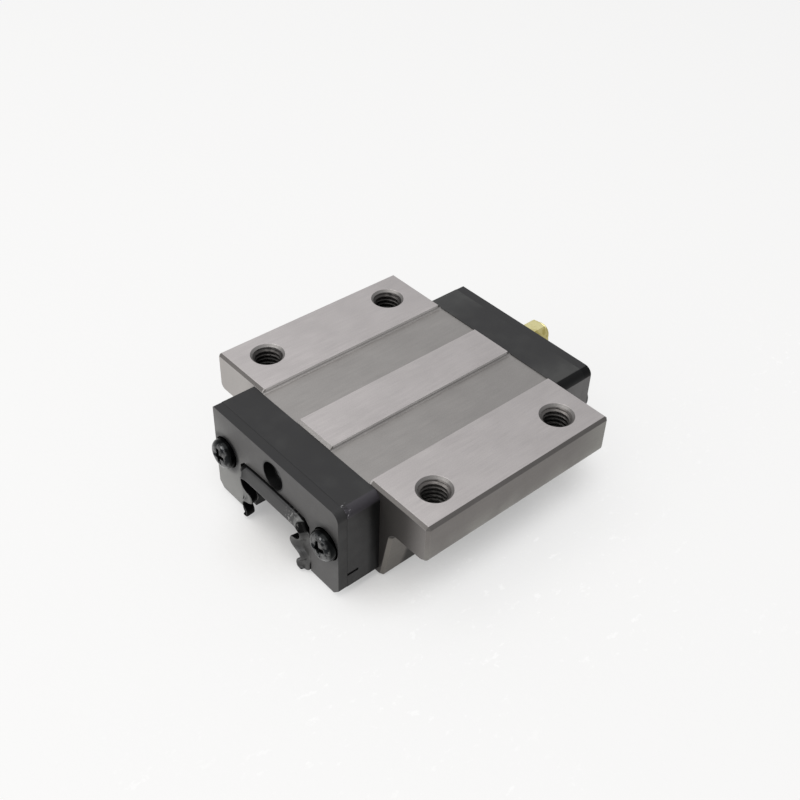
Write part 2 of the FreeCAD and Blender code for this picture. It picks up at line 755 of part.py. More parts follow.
# ---- balls ----
def ball_places():
    # where the balls of one loop stand: distances along it, split by straight run and turn
    length, radius = size("sizes.casing_length"), size(TURN_RADIUS)
    half_turn = math.pi * radius
    pitch = 2 * (length + half_turn) / size("sizes.loop_count")
    load, turn = int(size("sizes.load_count")), int(size("sizes.turn_count"))
    start = (length - (load - 1) * pitch) / 2
    places = {"load_balls": [], "rear_turn_balls": [], "return_balls": [], "front_turn_balls": []}
    for step in range(load):
        along = start + step * pitch - length / 2
        places["load_balls"].append((along, -radius))
        places["return_balls"].append((-along, radius))
    for step in range(turn):
        angle = (start + (load + step) * pitch - length) / radius
        across = -radius * math.cos(angle)
        along = length / 2 + radius * math.sin(angle)
        places["rear_turn_balls"].append((along, across))
        places["front_turn_balls"].append((-along, -across))
    return places


def make_balls(group, spots, side_name):
    side = SIDES[side_name]
    label = f"{group}_{side_name}"
    balls = []
    for step, (along, across) in enumerate(spots, start=1):
        ball = doc.addObject("Part::Sphere", f"{label}_{step}")
        ball.Placement.Base.x = along
        ball.Placement.Base.y = side * (size(TURN_ROW) + across)
        bind(ball, Radius="sizes.ball_radius", Placement__Base__z="-sizes.row_height")
        balls.append(ball)
    row = doc.addObject("Part::Compound", label)
    row.Links = balls
    return row


def check_and_export(parts):
    # every object and every piece has to be sound before a file is written
    doc.recompute()
    for item in doc.Objects:
        if "Invalid" in item.State or "Error" in item.State:
            raise RuntimeError(f"{item.Label} is {item.State}")
    for item in parts:
        if item.Shape.isNull() or not item.Shape.isValid():
            raise RuntimeError(f"{item.Label} has no valid shape")
    os.makedirs("parts", exist_ok=True)
    for item in parts:
        item.Shape.exportStep(f"parts/{item.Label}.step")
        print(item.Label, len(item.Shape.Solids), round(item.Shape.Volume, 2))


pieces = [make_casing(), make_grease_nipple(), make_nipple_ball(), make_nipple_spring()]
for end in ENDS:
    pieces += [make_end_plate(end), make_seal_plate(end), make_seal_lip(end)]
    for side_name in SIDES:
        pieces.append(make_return_guide(end, side_name))
        pieces.append(make_end_screw(end, side_name))
for side_name in SIDES:
    pieces.append(make_retaining_wire(side_name))
    for group, spots in ball_places().items():
        pieces.append(make_balls(group, spots, side_name))
check_and_export(pieces)
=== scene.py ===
import math

import bpy
import numpy as np
from mathutils import Matrix, Vector


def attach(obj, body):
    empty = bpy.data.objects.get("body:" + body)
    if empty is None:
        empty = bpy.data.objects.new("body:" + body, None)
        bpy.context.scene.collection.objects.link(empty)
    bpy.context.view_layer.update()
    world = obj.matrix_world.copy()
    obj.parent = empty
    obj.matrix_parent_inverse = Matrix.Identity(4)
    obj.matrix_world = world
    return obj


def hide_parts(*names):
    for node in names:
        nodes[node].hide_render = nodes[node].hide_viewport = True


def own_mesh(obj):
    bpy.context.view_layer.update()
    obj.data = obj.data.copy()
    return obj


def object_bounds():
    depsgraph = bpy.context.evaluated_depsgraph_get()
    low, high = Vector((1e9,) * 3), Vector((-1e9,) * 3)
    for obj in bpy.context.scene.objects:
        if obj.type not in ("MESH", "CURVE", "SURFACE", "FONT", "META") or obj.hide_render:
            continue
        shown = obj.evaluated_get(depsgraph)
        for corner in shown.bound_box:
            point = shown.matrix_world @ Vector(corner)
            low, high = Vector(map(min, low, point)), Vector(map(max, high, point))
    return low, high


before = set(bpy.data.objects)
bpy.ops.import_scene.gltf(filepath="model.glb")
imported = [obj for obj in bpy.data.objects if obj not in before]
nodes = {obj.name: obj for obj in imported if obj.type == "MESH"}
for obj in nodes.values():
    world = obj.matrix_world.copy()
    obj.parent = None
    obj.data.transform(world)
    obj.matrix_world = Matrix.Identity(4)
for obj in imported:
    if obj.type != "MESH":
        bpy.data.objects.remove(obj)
cadBox = [list(corner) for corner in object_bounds()]
mm = 0.001
ends = {"front": -1, "rear": 1}
sides = {"left": 1, "right": -1}
print("frame loaded:", len(nodes), "nodes")

camera = {
    "place": (-93.08, -100.27, 110.57),   # mm
    "aim": (0.53051, 0.55469, -0.64100),
    "roll": 3.02,                         # degrees
    "lens": 49.15,
    "sensor": 36.0,
    "shift": (-0.0253, 0.0024),
    "clip": (0.005, 20.0),
}


def placeCamera():
    data = bpy.data.cameras.new("camera")
    data.lens, data.sensor_width = camera["lens"], camera["sensor"]
    data.shift_x, data.shift_y = camera["shift"]
    data.clip_start, data.clip_end = camera["clip"]
    eye = bpy.data.objects.new("camera", data)
    turn = Vector(camera["aim"]).to_track_quat("-Z", "Y").to_matrix().to_4x4()
    roll = Matrix.Rotation(math.radians(camera["roll"]), 4, "Z")
    eye.matrix_world = Matrix.Translation(Vector(camera["place"]) * mm) @ turn @ roll
    bpy.context.scene.collection.objects.link(eye)
    bpy.context.scene.camera = eye


placeCamera()
bpy.context.scene.view_settings.view_transform = "Standard"
print("camera set")


class Look:
    # a new material, its Principled shader and short ways to add nodes to it

    def __init__(self, name, **sockets):
        self.material = bpy.data.materials.new(name)
        self.material.use_nodes = True
        self.tree = self.material.node_tree
        self.shader = self.tree.nodes["Principled BSDF"]
        texture = self.add("TexCoord").outputs
        self.coords, self.normal = texture["Object"], texture["Normal"]
        for label, value in sockets.items():
            self.socket(label, value)

    def put(self, plug, value):
        if isinstance(value, bpy.types.NodeSocket):
            self.tree.links.new(value, plug)
        else:
            plug.default_value = value

    def socket(self, name, value):
        self.put(self.shader.inputs[name], value)

    def add(self, kind, inputs=(), **options):
        made = self.tree.nodes.new("ShaderNode" + kind)
        for name, value in options.items():
            setattr(made, name, value)
        for key, value in dict(inputs).items():
            self.put(made.inputs[key], value)
        return made

    def maths(self, operation, first, second=0.0, clamp=False):
        made = self.add("Math", {0: first, 1: second}, operation=operation, use_clamp=clamp)
        return made.outputs[0]

    def both(self, first, second):
        return self.maths("MULTIPLY", first, second)

    def total(self, first, second, clamp=False):
        return self.maths("ADD", first, second, clamp)

    def most(self, first, second):
        return self.maths("MAXIMUM", first, second)

    def other(self, value):
        # 1 less the value
        return self.maths("SUBTRACT", 1.0, value)

    def unsigned(self, value):
        return self.maths("ABSOLUTE", value)

    def step(self, value, low, high, start=0.0, end=1.0):
        # goes smoothly from start to end while the value goes from low to high
        made = self.add("MapRange", {"Value": value, "From Min": low, "From Max": high,
                                     "To Min": start, "To Max": end},
                        interpolation_type="SMOOTHSTEP")
        return made.outputs["Result"]

    def past(self, axis, sign, start=0.0, end=1.0):
        # goes from start to end across the middle of the block, towards the given side
        return self.step(axis, -sign * mm, sign * mm, start, end)

    def blend(self, factor, first, second):
        # colours or numbers mixed by factor
        made = self.add("Mix", {"Factor": factor}, data_type="RGBA")
        plugs = [plug for plug in made.inputs if plug.type == "RGBA"]
        self.put(plugs[0], first)
        self.put(plugs[1], second)
        return [plug for plug in made.outputs if plug.type == "RGBA"][0]

    def shade(self, colour, amount):
        # a colour times a grey amount
        made = self.add("VectorMath", {0: colour}, operation="SCALE")
        self.put(made.inputs["Scale"], amount)
        return made.outputs["Vector"]

    def stretched(self, scale):
        return self.add("Mapping", {"Vector": self.coords, "Scale": scale}).outputs["Vector"]

    def noise(self, scale, detail=3.0, rough=0.55, place=None):
        made = self.add("TexNoise", {"Vector": place or self.coords, "Scale": scale,
                                     "Detail": detail, "Roughness": rough})
        return made.outputs["Fac"]

    def axes(self, vector=None):
        split = self.add("SeparateXYZ", {"Vector": vector or self.coords})
        return [split.outputs[name] for name in "XYZ"]

    def apart(self, first, second):
        # distance between two points
        made = self.add("VectorMath", {0: first, 1: second}, operation="DISTANCE")
        return made.outputs["Value"]

    def around(self, across, down):
        # distance in the YZ plane from a point given on either side of the middle
        y, z = self.axes()[1:]
        flat = self.add("CombineXYZ", {"Y": self.unsigned(y), "Z": z}).outputs[0]
        return self.apart(flat, (0.0, across, down))

    def away(self, spot):
        # distance from a point of the object
        return self.apart(self.coords, spot)

    def edges(self, radius):
        # 0 on flat ground, towards 1 within the radius of a sharp edge
        soft = self.add("Bevel", {"Radius": radius}, samples=6).outputs["Normal"]
        flat = self.add("NewGeometry").outputs["Normal"]
        close = self.add("VectorMath", {0: soft, 1: flat}, operation="DOT_PRODUCT")
        return self.maths("SUBTRACT", 1.0, close.outputs["Value"], clamp=True)

    def bump(self, height, strength, distance):
        made = self.add("Bump", {"Height": height, "Strength": strength, "Distance": distance})
        self.put(self.shader.inputs["Normal"], made.outputs["Normal"])

    def paint(self, colour, rough):
        self.socket("Base Color", colour)
        self.socket("Roughness", rough)
        return self.material


def rgb(red, green, blue):
    return (red, green, blue, 1.0)


def span(start, stop):
    # a stretch along an axis, given in millimetres
    return (start * mm, stop * mm)


steel = {
    "ground": rgb(0.560, 0.525, 0.510),
    "groove": rgb(0.350, 0.333, 0.318),
    # painted shade along the ridge's edge in each groove
    "grooveEdgeShade": rgb(0.190, 0.180, 0.172),
    # groove walls, painted paler to stand in for the light they catch
    "grooveWallLit": rgb(0.560, 0.540, 0.525),
    "drawn": rgb(0.205, 0.192, 0.182),
    "drawnPale": rgb(0.330, 0.325, 0.300),
    "chamfer": rgb(0.150, 0.140, 0.132),
    "holeRim": rgb(0.240, 0.228, 0.218),
    # the wall under the flange: a painted lit patch, and painted shade
    "wallLit": rgb(0.190, 0.178, 0.162),
    "wall": rgb(0.048, 0.044, 0.040),
    # cut ends: painted shade on the right, painted light on its outer corner and on the left flange
    "endShade": rgb(0.100, 0.093, 0.088),
    "endCornerLit": rgb(0.260, 0.245, 0.235),
    "endFarLit": rgb(0.420, 0.400, 0.385),
    "edge": rgb(0.300, 0.280, 0.268),
    "groundRough": 0.40,
    "drawnRough": 0.50,
    "metallic": 0.92,
    "grooveMetallic": 0.25,
    # noise: scale, detail, roughness
    "cloud": (140.0, 3.0),
    "grain": (5200.0, 2.0, 0.7),
    "lines": (1.0, 3.0, 0.6),
    "lineStretch": (160.0, 5200.0, 5200.0),
    "patches": (500.0, 3.0, 0.5),
    "patchStretch": (0.3, 1.0, 1.0),
    # where each finish, and each painted light or shade, sets in, by height
    "topSkin": span(-0.03, -0.005),
    "chamferUp": span(-0.62, -0.50),
    "grooveFloor": span(-0.95, -0.80),
    "litWallUp": span(-0.52, -0.36),
    "wornDown": span(-1.2, -1.5),
    "paleDown": span(-2.5, -7.0),
    "wallDown": span(-7.1, -7.35),
    "litPatchDown": span(-7.9, -8.6),
    # across, off the middle
    "ridgeShadeBand": span(4.0, 4.9),
    "grooveOut": span(13.5, 13.6),
    "channelIn": span(13.6, 13.5),
    "litPatchOut": span(13.5, 14.5),
    "wornOut": span(14.0, 15.0),
    "wallIn": span(19.6, 19.3),
    "endLitLeft": span(10.0, 18.0),
    "endLitCornerRight": span(-20.5, -26.6),
    # along
    "paleRear": span(11.0, 19.0),
    "litPatchFront": span(-13.7, -15.1),
    "litWallEnd": span(18.65, 18.5),
    "endFace": span(19.15, 19.19),
    # painted light falloff: brighter to the front and the left
    "falloffAlong": span(-20.0, 20.0),
    "falloffAcross": span(-15.0, 15.0),
    # round each hole, and the uneven border of the painted lit patch on the wall
    "hole": (13 * mm, 20.5 * mm, 0.0),
    "rimIn": span(3.3, 3.1),
    "border": span(-0.8, 0.8),
    "edgeRadius": 0.25 * mm,
}


def endShadeAndLight(look, y):
    # cut ends: painted shade on the right, painted light along the right corner and on the left
    # flange
    corner = look.step(y, *steel["endLitCornerRight"])
    face = look.blend(corner, steel["endShade"], steel["endCornerLit"])
    return look.blend(look.step(y, *steel["endLitLeft"]), face, steel["endFarLit"])


def sideTone(look, cloud, x, z, along, offCentre):
    # drawn sides: paler towards the lower edge and the rear end, with chamfers and hole rims of
    # their own tone, and the tone of the groove inside the channel
    low = look.both(look.step(z, *steel["paleDown"]), look.step(cloud, 0.35, 0.65, 0.1, 0.6))
    pale = look.total(low, look.step(x, *steel["paleRear"], 0.0, 0.6), clamp=True)
    side = look.blend(pale, steel["drawn"], steel["drawnPale"])
    side = look.blend(look.step(z, *steel["chamferUp"]), side, steel["chamfer"])
    spot = look.add("CombineXYZ", {"X": along, "Y": offCentre}).outputs[0]
    hole = look.apart(spot, steel["hole"])
    side = look.blend(look.step(hole, *steel["rimIn"]), side, steel["holeRim"])
    return look.blend(look.step(offCentre, *steel["channelIn"]), side, steel["groove"])


def wallShadeAndLight(look, cloud, x, z, offCentre):
    # the wall under the flange: painted shade, with a painted lit patch only next to the front end
    border = look.step(cloud, 0.3, 0.7, *steel["border"])
    paleAndLit = look.both(look.step(look.total(x, border), *steel["litPatchFront"]),
                       look.step(look.maths("SUBTRACT", z, look.both(border, 0.5)),
                                 *steel["litPatchDown"]))
    paleAndLit = look.both(paleAndLit, look.step(offCentre, *steel["litPatchOut"]))
    return look.blend(paleAndLit, steel["wall"], steel["wallLit"])


def casingLook():
    # ground lands on top, an unground groove each side of the ridge, drawn sides, cut ends
    look = Look("groundSteel")
    x, y, z = look.axes()
    along, offCentre = look.unsigned(x), look.unsigned(y)
    cloud = look.noise(*steel["cloud"])
    grain = look.noise(*steel["grain"])
    lines = look.noise(*steel["lines"], look.stretched(steel["lineStretch"]))

    onTop = look.step(z, *steel["topSkin"])
    inGroove = look.both(look.step(z, *steel["grooveFloor"]), look.other(onTop))
    inGroove = look.both(inGroove, look.step(offCentre, *steel["grooveOut"], 1.0, 0.0))
    patchy = look.noise(*steel["patches"], look.stretched(steel["patchStretch"]))
    # painted shade in each groove along the ridge's edge, patchy
    ridgeShade = look.both(look.step(offCentre, *steel["ridgeShadeBand"], 0.35, 0.0),
                     look.step(patchy, 0.30, 0.60, 0.45, 1.0))
    # painted light: the groove walls get a paler colour and less metal, for the light they catch
    litWall = look.both(inGroove, look.step(z, *steel["litWallUp"]))
    litWall = look.both(litWall, look.step(along, *steel["litWallEnd"]))
    underFlange = look.both(look.step(z, *steel["wallDown"]),
                            look.step(offCentre, *steel["wallIn"]))
    worn = look.both(look.step(look.edges(steel["edgeRadius"]), 0.04, 0.2),
                     look.step(offCentre, *steel["wornOut"]))
    worn = look.both(worn, look.step(z, *steel["wornDown"]))

    colour = look.blend(underFlange, sideTone(look, cloud, x, z, along, offCentre),
                        wallShadeAndLight(look, cloud, x, z, offCentre))
    colour = look.blend(look.step(along, *steel["endFace"]), colour, endShadeAndLight(look, y))
    colour = look.blend(inGroove, colour, look.blend(ridgeShade, steel["groove"], steel["grooveEdgeShade"]))
    colour = look.blend(litWall, colour, steel["grooveWallLit"])
    colour = look.blend(look.both(worn, look.step(grain, 0.3, 0.7, 0.3, 0.8)), colour,
                        steel["edge"])
    colour = look.blend(onTop, colour, steel["ground"])

    tone = look.total(look.step(cloud, 0.3, 0.7, 0.96, 1.03),
                      look.step(lines, 0.3, 0.7, -0.03, 0.03))
    tone = look.total(tone, look.step(grain, 0.3, 0.7, -0.04, 0.04))
    # painted light: brighter to the front and the left, darker to the rear and the right
    tone = look.both(tone, look.step(x, *steel["falloffAlong"], 1.04, 0.95))
    tone = look.both(tone, look.step(y, *steel["falloffAcross"], 0.93, 1.02))
    rough = look.step(onTop, 0.0, 1.0, steel["drawnRough"], steel["groundRough"])
    rough = look.total(rough, look.step(lines, 0.3, 0.7, -0.05, 0.05))
    look.socket("Metallic",
                look.step(litWall, 0.0, 1.0, steel["metallic"], steel["grooveMetallic"]))
    look.bump(look.blend(onTop, grain, lines), 0.12, 0.02 * mm)
    return look.paint(look.shade(colour, tone), rough)


resin = {
    "colour": rgb(0.016, 0.0155, 0.0155),
    "pale": rgb(0.038, 0.038, 0.036),
    "roundTone": rgb(0.030, 0.027, 0.032),   # the front cap's rounded edge, paler and purplish
    # black for the scuffed corner's pits, and for painted shade
    "grease": rgb(0.003, 0.003, 0.003),
    "seam": rgb(0.011, 0.011, 0.011),
    # the caps' right sides: painted shade on the front one, painted light on the rear one
    "side": rgb(0.011, 0.0105, 0.0105),
    "rearSideLit": rgb(0.105, 0.100, 0.098),
    "dust": rgb(0.30, 0.29, 0.30),
    "rough": 0.44,
    "shine": 0.36,
    "blackenedShine": 0.15,
    # noise: scale, detail, roughness
    "cloud": (260.0, 4.0),
    "grain": (7000.0, 2.0, 0.6),
    "sprinkle": (2200.0, 3.0, 0.7),
    # where each tone sets in
    "handledOut": span(7.0, 14.0),
    "sideRight": span(-15.5, -15.65),
    "roundedRight": span(-14.35, -14.55),
    "roundedUp": span(-2.2, -1.9),
    "greaseIn": span(21.9, 20.2),
    "greaseDown": span(-1.4, -2.4),
    "greaseOut": span(15.3, 15.5),
    "seamOut": span(25.26, 25.29),
    "scuffed": (-26.0 * mm, -14.9 * mm, -1.1 * mm),
    "scuffFade": span(0.8, 2.2),
}


def roundedEdge(look, y, z):
    # the long rounded top edge on the right of each cap
    return look.both(look.step(y, *resin["roundedRight"]), look.step(z, *resin["roundedUp"]))


def capSideShadeAndLight(look, x):
    # the right side of each cap: painted shade on the front one, painted light on the rear one
    return look.blend(look.past(x, 1), resin["side"], resin["rearSideLit"])


def resinLook():
    # moulded black plastic: fine spark-eroded grain, cloudy, a little paler where it is handled
    look = Look("blackResin")
    x, y, z = look.axes()
    along, offCentre = look.unsigned(x), look.unsigned(y)
    cloud = look.noise(*resin["cloud"])
    grain = look.noise(*resin["grain"])
    sprinkle = look.noise(*resin["sprinkle"])
    handled = look.both(look.past(x, 1), look.step(offCentre, *resin["handledOut"]))
    amount = look.total(look.step(cloud, 0.45, 0.75, 0.0, 0.3),
                        look.both(handled, look.step(cloud, 0.35, 0.6, 0.55, 1.0)), clamp=True)
    colour = look.blend(amount, resin["colour"], resin["pale"])
    colour = look.blend(look.step(y, *resin["sideRight"]), colour, capSideShadeAndLight(look, x))
    rounded = roundedEdge(look, y, z)
    colour = look.blend(look.both(rounded, look.past(x, -1)), colour, resin["roundTone"])
    colour = look.blend(look.step(along, *resin["seamOut"]), colour, resin["seam"])

    # painted shade, black and less shiny, on the rear cap's rounded edge and in the corners against
    # the block
    against = look.both(look.step(along, *resin["greaseIn"]), look.step(z, *resin["greaseDown"]))
    against = look.both(against, look.step(offCentre, *resin["greaseOut"]))
    blackened = look.most(look.both(rounded, look.past(x, 1)), against)
    colour = look.blend(blackened, colour, resin["grease"])
    look.socket("Specular IOR Level",
                look.step(blackened, 0.0, 1.0, resin["shine"], resin["blackenedShine"]))

    # the scuffed corner of the front cap: black pits and pale dust
    corner = look.step(look.away(resin["scuffed"]), *resin["scuffFade"], 1.0, 0.0)
    colour = look.blend(look.both(look.step(sprinkle, 0.46, 0.40), corner), colour,
                        resin["grease"])
    colour = look.blend(look.both(look.step(sprinkle, 0.58, 0.66), corner), colour,
                        resin["dust"])
    rough = look.total(look.step(cloud, 0.3, 0.7, resin["rough"] - 0.04, resin["rough"] + 0.06),
                       look.step(grain, 0.3, 0.7, -0.04, 0.04))
    look.bump(grain, 0.25, 0.02 * mm)
    return look.paint(colour, rough)


plate = {
    "colour": rgb(0.044, 0.042, 0.041),
    # painted reflection, on the face low down and to the left
    "paleAndLit": rgb(0.190, 0.189, 0.180),
    # painted shade round the screws
    "blackened": rgb(0.006, 0.006, 0.006),
    "rough": 0.42,
    "shine": 0.5,
    "edgeShine": 0.36,
    "rimShine": 0.3,      # share of that on the rear plate's rounded edge
    # noise: scale, detail, roughness
    "cloud": (330.0, 5.0, 0.6),
    "fine": (2200.0, 3.0, 0.65),
    "grain": (8000.0, 2.0, 0.6),
    # where each tone sets in
    "face": span(26.94, 26.99),
    "sheenLeft": 0.85,     # a step to the left counts as this much of a step down
    "sheenDown": span(4.0, 26.0),
    "screwAt": (12.8 * mm, -8.3 * mm),
    "screwFade": span(2.9, 4.2),
    "leftHeadShadow": (-27.0 * mm, 12.45 * mm, -8.0 * mm),
    "headShadowFade": span(2.75, 3.7),
    "portAt": (0.0, -4.1 * mm),
    "portRimShade": span(2.72, 2.55),
    "portWallShade": span(2.5, 2.45),
}


def plateLook():
    # black coated sheet: the face is grey low down with painted reflection, and has painted shade
    # round the screws
    look = Look("sealPlate")
    x, y, z = look.axes()
    cloud = look.noise(*plate["cloud"])
    fine = look.noise(*plate["fine"])
    grain = look.noise(*plate["grain"])
    onFace = look.step(look.unsigned(x), *plate["face"])
    # painted reflection, paler low down and to the left, with some random paleness from the noise
    low = look.maths("SUBTRACT", look.both(y, plate["sheenLeft"]), z)
    low = look.step(low, *plate["sheenDown"])
    paleAndLit = look.total(look.both(low, low), look.step(cloud, 0.45, 0.75, 0.0, 0.14), clamp=True)
    paleAndLit = look.total(paleAndLit, look.step(fine, 0.55, 0.75, 0.0, 0.06), clamp=True)
    face = look.blend(paleAndLit, plate["colour"], plate["paleAndLit"])
    # painted shade round each screw, and a painted shadow beside the front cap's left head
    blackened = look.both(look.step(look.around(*plate["screwAt"]), *plate["screwFade"], 1.0, 0.0),
                     look.step(cloud, 0.35, 0.6, 0.6, 1.0))
    headShadow = look.step(look.away(plate["leftHeadShadow"]), *plate["headShadowFade"], 1.0, 0.0)
    face = look.blend(look.most(blackened, headShadow), face, plate["blackened"])
    port = look.around(*plate["portAt"])
    # painted shade: black round the port's mouth
    face = look.blend(look.step(port, *plate["portRimShade"]), face, resin["grease"])

    # painted shade: black, and less shiny, on the rear plate's rounded edge, and black in the
    # port's bore
    rim = look.both(roundedEdge(look, y, z), look.past(x, 1))
    edge = look.blend(look.step(y, *resin["sideRight"]), resin["colour"], capSideShadeAndLight(look, x))
    hole = look.step(port, *plate["portWallShade"])
    edge = look.blend(look.most(hole, rim), edge, resin["grease"])
    colour = look.blend(onFace, edge, face)
    look.socket("Specular IOR Level",
                look.both(look.step(onFace, 0.0, 1.0, plate["edgeShine"], plate["shine"]),
                          look.step(rim, 0.0, 1.0, 1.0, plate["rimShine"])))
    rough = look.total(look.step(cloud, 0.3, 0.7, plate["rough"] - 0.05, plate["rough"] + 0.07),
                       look.step(grain, 0.3, 0.7, -0.03, 0.03))
    look.bump(look.total(grain, look.both(fine, 2.0)), 0.25, 0.012 * mm)
    return look.paint(colour, rough)


rubber = {
    "colour": rgb(0.009, 0.009, 0.009),
    # painted reflection on the crossbar's front, mottled
    "bar": rgb(0.020, 0.0195, 0.0195),      # front of the crossbar
    "leg": rgb(0.036, 0.035, 0.034),        # the flush legs, toned like the plate beside them
    # paler with painted reflection, as on the plate beside it
    "farLegSheen": rgb(0.100, 0.099, 0.094),
    "dust": rgb(0.24, 0.24, 0.23),
    # painted highlight round the right knob
    "arc": rgb(0.105, 0.105, 0.102),
    "rough": 0.36,
    "shine": 0.5,
    "blackShine": 0.05,
    # noise: scale, detail, roughness
    "cloud": (700.0, 4.0, 0.6),
    "grain": (4200.0, 3.0, 0.6),
    "grit": (2100.0, 4.0, 0.7),
    # where each tone sets in
    "proud": span(27.35, 27.6),
    "legDown": span(-9.9, -10.3),
    "legEdgeIn": span(7.3, 6.9),
    "legEdgeDown": span(-13.9, -14.4),
    "footBlackDown": span(-14.6, -15.4),
    "knobAt": (7.8 * mm, -8.5 * mm),        # across and down from the middle of the top
    "arcIn": span(1.95, 1.55),
    "arcUp": span(-9.3, -8.6),
    "knobIn": span(1.2, 0.9),
    "barEnd": (0.827, 0.560, 1.89 * mm),    # slanting line where the bar stops: y, z shares, offset
    "barEndWidth": span(0.38, 0.22),
    "barEndUp": span(-9.4, -9.1),
    "dustAt": (-27.9 * mm, -5.6 * mm, -8.2 * mm),
    "dustFade": span(0.6, 2.5),
}


def rubberLook():
    # black nitrile, its flush legs grey like the plate beside them, with pale grit caught beside
    # the right shoulder
    look = Look("sealRubber")
    x, y, z = look.axes()
    cloud = look.noise(*rubber["cloud"])
    grain = look.noise(*rubber["grain"])
    across = look.unsigned(y)
    toLeft, toRight = look.past(y, 1), look.past(y, -1)
    # painted reflection: the front of the proud crossbar paler, mottled
    proud = look.step(look.unsigned(x), *rubber["proud"])
    colour = look.blend(look.both(proud, look.step(cloud, 0.3, 0.7, 0.5, 1.0)),
                        rubber["colour"], rubber["bar"])

    # the legs, but for the right one's inner edge low down and the left one's black foot
    facing = look.step(look.unsigned(look.axes(look.normal)[0]), 0.15, 0.45)
    leg = look.both(look.step(z, *rubber["legDown"]), facing)
    edge = look.both(look.step(across, *rubber["legEdgeIn"]),
                     look.step(z, *rubber["legEdgeDown"]))
    leg = look.both(leg, look.other(look.both(edge, toRight)))
    blackened = look.both(toLeft, look.step(z, *rubber["footBlackDown"]))
    leg = look.both(leg, look.other(blackened))
    # painted reflection: the left leg paler, as on the plate beside it
    colour = look.blend(leg, colour, look.blend(toLeft, rubber["leg"], rubber["farLegSheen"]))

    # painted highlight round the right knob, painted shade in black at the knobs and at the bar's
    # left end
    knob = look.around(*rubber["knobAt"])
    arc = look.both(look.step(knob, *rubber["arcIn"]), look.step(z, *rubber["arcUp"]))
    arc = look.both(arc, toRight)
    colour = look.blend(look.both(arc, look.step(cloud, 0.35, 0.6, 0.3, 0.9)), colour,
                        rubber["arc"])
    black = look.both(look.step(knob, *rubber["knobIn"]), look.past(y, -1, 0.4, 1.0))
    yShare, zShare, offset = rubber["barEnd"]
    slant = look.total(look.both(across, yShare), look.both(z, zShare))
    stop = look.unsigned(look.maths("SUBTRACT", slant, offset))
    stop = look.both(look.step(stop, *rubber["barEndWidth"]),
                     look.step(z, *rubber["barEndUp"]))
    black = look.most(black, look.both(stop, toLeft))
    # painted shade: black on walls that do not face forward; black at the left foot too
    black = look.most(look.most(black, blackened), look.other(facing))
    colour = look.blend(black, colour, resin["grease"])
    look.socket("Specular IOR Level",
                look.step(black, 0.0, 1.0, rubber["shine"], rubber["blackShine"]))

    grit = look.step(look.noise(*rubber["grit"]), 0.55, 0.66)
    near = look.step(look.away(rubber["dustAt"]), *rubber["dustFade"], 1.0, 0.0)
    colour = look.blend(look.both(grit, near), colour, rubber["dust"])
    look.bump(look.total(look.both(cloud, 2.0), grain), 0.35, 0.03 * mm)
    return look.paint(colour, look.step(cloud, 0.3, 0.7, rubber["rough"] - 0.06,
                                        rubber["rough"] + 0.08))


screwTone = {
    "front": rgb(0.120, 0.121, 0.120),
    "stained": rgb(0.014, 0.015, 0.016),
    # painted shade down the side of the head
    "side": rgb(0.006, 0.0065, 0.0065),
    "frontOut": span(27.9, 28.3),
    "rough": 0.17,
}


def screwLook():
    # black oxide worn through to grey on the crown, and black down the side with painted shade
    look = Look("blackOxide", Metallic=0.95)
    cloud = look.noise(800.0, 4.0, 0.6)
    crown = look.blend(look.step(cloud, 0.40, 0.54), screwTone["front"], screwTone["stained"])
    front = look.step(look.unsigned(look.axes()[0]), *screwTone["frontOut"])
    look.bump(look.noise(9000.0, 2.0), 0.1, 0.008 * mm)
    return look.paint(look.blend(front, screwTone["side"], crown),
                      look.step(cloud, 0.3, 0.7, screwTone["rough"] - 0.04,
                                screwTone["rough"] + 0.1))


def mouldedLook(name, rough, scale, dark, pale, bumpDepth):
    # moulded plastic of one roughness, clouded between two tones
    look = Look(name, Roughness=rough)
    look.bump(look.noise(6000.0, 2.0), 0.2, bumpDepth)
    look.socket("Base Color", look.blend(look.noise(scale, 3.0), dark, pale))
    return look.material


threadTone = {
    "flank": rgb(0.135, 0.125, 0.118),
    "deep": rgb(0.02, 0.019, 0.018),
    # painted shade, deeper in the holes and in the left flange
    "deepDown": span(-0.5, -2.6),
    "deepLeft": span(5.0, 8.0),
}


def threadLook():
    # cut thread: dull oily flanks, with painted shade the deeper they lie and in the left flange,
    # and patches of dirt
    look = Look("cutThread", Metallic=0.9)
    y, z = look.axes()[1:]
    cloud = look.noise(900.0, 3.0)
    deep = look.most(look.step(z, *threadTone["deepDown"]),
                     look.step(y, *threadTone["deepLeft"], 0.0, 0.75))
    shadeAndDirt = look.total(look.both(deep, 0.9), look.step(cloud, 0.5, 0.8, 0.0, 0.4), clamp=True)
    look.bump(look.noise(7000.0, 2.0), 0.2, 0.01 * mm)
    return look.paint(look.blend(shadeAndDirt, threadTone["flank"], threadTone["deep"]),
                      look.step(cloud, 0.3, 0.7, 0.36, 0.48))


brass = {
    "bright": rgb(0.86, 0.79, 0.42),
    "stainAndShade": rgb(0.46, 0.39, 0.14),
    "lineStretch": (9000.0, 300.0, 300.0),
}


def brassLook():
    # yellow brass with turning lines and brown stains, and painted shade on its right side
    look = Look("turnedBrass", Metallic=1.0)
    cloud = look.noise(600.0, 4.0)
    lines = look.noise(1.0, 2.0, 0.6, look.stretched(brass["lineStretch"]))
    stainAndShade = look.total(look.step(cloud, 0.42, 0.68, 0.0, 0.7),
                       # painted shade on the faces turned to the right
                       look.step(look.axes(look.normal)[1], -0.25, -0.8, 0.0, 0.6), clamp=True)
    look.bump(lines, 0.2, 0.01 * mm)
    return look.paint(look.blend(stainAndShade, brass["bright"], brass["stainAndShade"]),
                      look.step(cloud, 0.3, 0.7, 0.40, 0.52))


